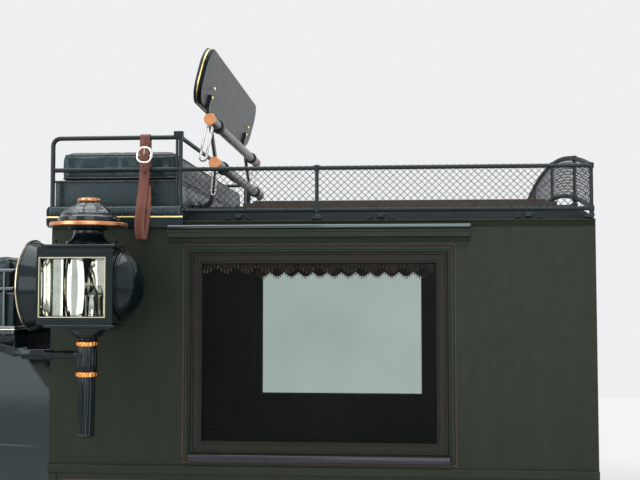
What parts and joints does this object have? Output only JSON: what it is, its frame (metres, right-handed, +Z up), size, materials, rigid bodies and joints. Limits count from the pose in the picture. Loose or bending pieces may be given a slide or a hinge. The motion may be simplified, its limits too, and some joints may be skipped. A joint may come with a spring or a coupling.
{
  "type": "horse-drawn private omnibus",
  "caption": "Closed horse-drawn omnibus with side windows, a railed roof with a seat, a driver's box, side lamps, sprung spoked wheels and a rear door with steps.",
  "frame": {"origin": "on the ground below the middle of the overall box", "axes": "-X to the front, +Y to the off side, +Z up"},
  "size_m": [3.1838, 1.9438, 2.6815],
  "materials": {
    "body_paint": "satin dark olive green paint on wood panels",
    "black_gloss": "gloss black varnished paint",
    "iron_black": "black painted wrought iron",
    "floor_wood": "painted ash boards",
    "sash_wood": "dark stained sash wood",
    "bench_wood": "varnished bench wood",
    "slat_wood": "varnished ash slats",
    "bar_wood": "dark red varnished ash with copper caps",
    "wheel_wood": "painted wooden wheels",
    "glass_clear": "clear window glass",
    "lamp_glass": "bevelled lamp glass",
    "leather_black": "black leather cushions",
    "leather_brown": "brown strap leather",
    "tyre_rubber": "solid rubber tyres",
    "steel_spring": "black painted spring steel"
  },
  "bodies": {
    "carriage": {"cabin_floor": "floor_wood", "cabin_side_near": "body_paint", "cabin_side_off": "body_paint", "cabin_front_wall": "body_paint", "cabin_rear_wall": "body_paint", "cabin_roof": "black_gloss", "window_sash_near": "sash_wood", "window_sash_off": "sash_wood", "window_glass_near": "glass_clear", "window_glass_off": "glass_clear", "front_window_sash": "sash_wood", "front_window_glass": "glass_clear", "bench_near": "bench_wood", "bench_off": "bench_wood", "roof_slats": "slat_wood", "gallery_near": "iron_black", "gallery_off": "iron_black", "gallery_rear": "iron_black", "roof_seat_base": "black_gloss", "roof_seat_cushion": "leather_black", "roof_seat_rails": "iron_black", "back_rest": "leather_black", "back_rest_irons": "iron_black", "spare_bars": "bar_wood", "seat_strap": "leather_brown", "boot": "black_gloss", "box_seat_base": "black_gloss", "box_seat_cushion": "leather_black", "box_seat_rails": "iron_black", "footboard": "black_gloss", "lamp_near": "black_gloss", "lamp_off": "black_gloss", "lamp_glasses": "lamp_glass", "lamp_irons": "iron_black", "rear_springs": "steel_spring", "rear_axle": "iron_black", "rear_step": "iron_black", "upper_ring": "iron_black"},
    "turning_carriage": {"forecarriage": "wheel_wood", "splinter_bar": "wheel_wood", "front_springs": "steel_spring", "front_axle": "iron_black"},
    "front_near_wheel": {"wheel_front_near": "wheel_wood", "tyre_front_near": "tyre_rubber"},
    "front_off_wheel": {"wheel_front_off": "wheel_wood", "tyre_front_off": "tyre_rubber"},
    "rear_near_wheel": {"wheel_rear_near": "wheel_wood", "tyre_rear_near": "tyre_rubber"},
    "rear_off_wheel": {"wheel_rear_off": "wheel_wood", "tyre_rear_off": "tyre_rubber"},
    "back_door": {"rear_door": "body_paint", "rear_door_glass": "glass_clear"}
  },
  "joints": [
    {"name": "steering", "type": "hinge", "parent": "carriage", "child": "turning_carriage", "pos_m": [-0.84565, 0, 0.8], "axis": [0, 0, 1], "range_deg": [-25, 25]},
    {"name": "front_near_wheel_spin", "type": "hinge", "parent": "turning_carriage", "child": "front_near_wheel", "pos_m": [-0.84565, -0.645, 0.42], "axis": [0, 1, 0], "continuous": true},
    {"name": "front_off_wheel_spin", "type": "hinge", "parent": "turning_carriage", "child": "front_off_wheel", "pos_m": [-0.84565, 0.645, 0.42], "axis": [0, 1, 0], "continuous": true},
    {"name": "rear_near_wheel_spin", "type": "hinge", "parent": "carriage", "child": "rear_near_wheel", "pos_m": [0.90435, -0.73, 0.51], "axis": [0, 1, 0], "continuous": true},
    {"name": "rear_off_wheel_spin", "type": "hinge", "parent": "carriage", "child": "rear_off_wheel", "pos_m": [0.90435, 0.73, 0.51], "axis": [0, 1, 0], "continuous": true},
    {"name": "back_door_swing", "type": "hinge", "parent": "carriage", "child": "back_door", "pos_m": [1.27185, 0.2825, 1.4], "axis": [0, 0, 1], "range_deg": [0, 110]}
  ]
}
